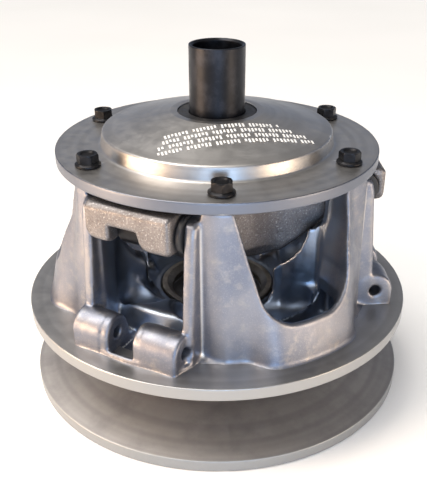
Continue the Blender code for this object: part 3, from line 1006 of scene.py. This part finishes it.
def make_stage():
    mesh = bpy.data.meshes.new("floor")
    half = 12.0
    corners = [(-half, -half, 0), (half, -half, 0), (half, half, 0), (-half, half, 0)]
    mesh.from_pydata(corners, [], [(0, 1, 2, 3)])
    mesh.materials.append(pale_floor())
    floor = bpy.data.objects.new("floor", mesh)
    floor.location.z = -GAP * MM
    bpy.context.scene.collection.objects.link(floor)


def make_light(name, kind, place, energy, colour, size, target=(0, 0, 0.07)):
    """Size is an angle for a sun or a spot, and a width in metres for an area light."""
    light = bpy.data.lights.new(name, kind)
    light.energy = energy
    light.color = colour
    if kind == "SUN":
        light.angle = size
    elif kind == "SPOT":
        light.spot_size = size
        light.spot_blend = 1.0
        light.shadow_soft_size = 0.08
    else:
        light.shape = "RECTANGLE"
        light.size = size
        light.size_y = size * 0.7
    aim(bpy.data.objects.new(name, light), place, target)


def make_world():
    """A dim, cool room with a paler ceiling."""
    world = bpy.data.worlds.new("studio")
    world.use_nodes = True
    nodes, links = world.node_tree.nodes, world.node_tree.links
    place = nodes.new("ShaderNodeTexCoord")
    split = nodes.new("ShaderNodeSeparateXYZ")
    links.new(place.outputs["Generated"], split.inputs[0])
    height = nodes.new("ShaderNodeValToRGB")
    height.color_ramp.elements[0].color = (0.32, 0.38, 0.48, 1)
    height.color_ramp.elements[1].color = (0.38, 0.37, 0.35, 1)
    for position, colour in ((0.25, (0.22, 0.27, 0.38, 1)), (0.5, (0.25, 0.245, 0.25, 1))):
        height.color_ramp.elements.new(position).color = colour
    links.new(split.outputs["Z"], height.inputs[0])
    background = nodes["Background"]
    links.new(height.outputs[0], background.inputs["Color"])
    background.inputs["Strength"].default_value = 1.0
    bpy.context.scene.world = world


def make_camera():
    """The photograph's view, solved from the rims' ellipses."""
    distance, elevation, azimuth = 0.4352, math.radians(29.11), math.radians(-1.6)
    target = Vector((0, 0, LEDGE * MM))
    flat = distance * math.cos(elevation)
    offset = (flat * math.sin(azimuth), -flat * math.cos(azimuth), distance * math.sin(elevation))
    camera = bpy.data.cameras.new("camera")
    camera.lens = 54.33
    camera.sensor_width = 36
    camera.shift_x = -0.0072
    camera.shift_y = 0.056
    camera.clip_end = 50
    obj = bpy.data.objects.new("camera", camera)
    aim(obj, target + Vector(offset), target)
    bpy.context.scene.camera = obj


def ride(piece, body, slot, *nodes):
    """Fixes a piece to a body, in place of CAD nodes. The slot is not used."""
    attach(piece, body)
    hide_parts(*nodes)


ride(make_fixed_sheave(), FIXED, "turned_aluminium", "fixed_sheave")
ride(make_sheave_ribs(), FIXED, "turned_aluminium", "fixed_sheave")
ride(make_post(), FIXED, "black_oxide_steel", "post")
ride(make_spider(), FIXED, "rough_casting", "spider")
ride(make_moving_casting(), MOVING, "cast_aluminium", "movable_sheave")
ride(make_moving_face(), MOVING, "turned_aluminium", "movable_sheave")
ride(make_cover(), MOVING, "turned_aluminium", "cover")
marks = make_cover_marks()
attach(marks, MOVING)
for number in range(6):
    ride(make_bolt(number), MOVING, "black_oxide_steel", f"cover_bolt_{number + 1}")
for row in make_small_parts() + make_hub_rows():
    ride(*row)
coil = make_spring()
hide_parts("spring")
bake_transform(coil)

make_stage()
make_world()
make_light("overhead", "SUN", (-0.5, 0.15, 1.5), 2.35, (1.0, 0.95, 0.88), math.radians(42))
make_light("key_left", "AREA", (-0.7, -0.22, 0.14), 4.6, (1.0, 0.68, 0.42), 0.4)
make_light("key_high", "AREA", (-0.6, -0.25, 0.75), 4, (1.0, 0.87, 0.73), 0.5)
spot_angle, spot_target = math.radians(34), (-0.33, -0.15, 0)
make_light("floor_left", "SPOT", (-0.55, -0.2, 0.5), 7, (1.0, 0.78, 0.52), spot_angle, spot_target)
make_light("fill_right", "AREA", (0.75, -0.5, 0.14), 3.2, (1.0, 0.76, 0.52), 0.4)
make_light("front_low", "AREA", (0.05, -1.0, 0.2), 2.6, (0.42, 0.66, 1.0), 0.45)
make_light("front_key", "AREA", (-0.1, -0.85, 0.7), 2.4, (0.91, 0.95, 1.0), 0.8)
make_camera()
bpy.context.scene.view_settings.view_transform = "Standard"
